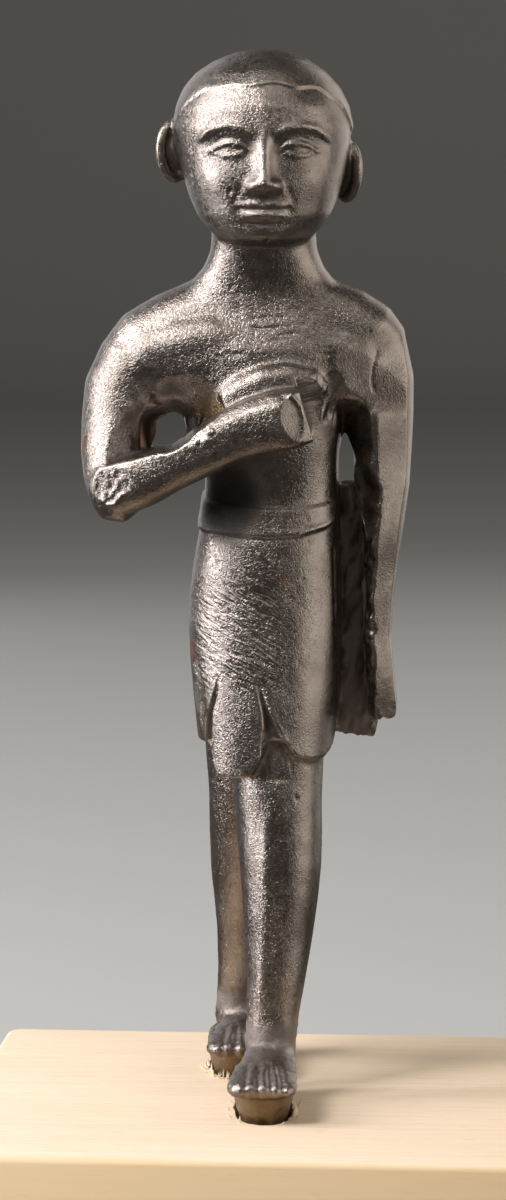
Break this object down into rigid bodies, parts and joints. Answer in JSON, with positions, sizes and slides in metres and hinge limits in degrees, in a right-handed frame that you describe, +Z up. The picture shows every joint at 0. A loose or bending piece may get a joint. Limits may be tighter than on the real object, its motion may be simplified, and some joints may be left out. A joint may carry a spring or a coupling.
{
  "type": "striding man statuette",
  "caption": "Small cast copper-alloy statuette of a striding man in a short kilt, one fist on the chest, set by its tangs in a pale wooden block.",
  "frame": {"origin": "centre of the wooden block's underside", "axes": "+Z up, the figure faces -Y, turned 4.5 degrees on the block; +X to the viewer's right, the side of the hanging arm"},
  "size_m": [0.087, 0.083, 0.179],
  "materials": {
    "bronze": "dark brown-grey burnished casting skin, finely pitted",
    "pale_wood": "bare planed pale wood, matte"
  },
  "bodies": {
    "root": {"bronze_figure": "bronze", "wooden_block": "pale_wood"}
  },
  "joints": []
}
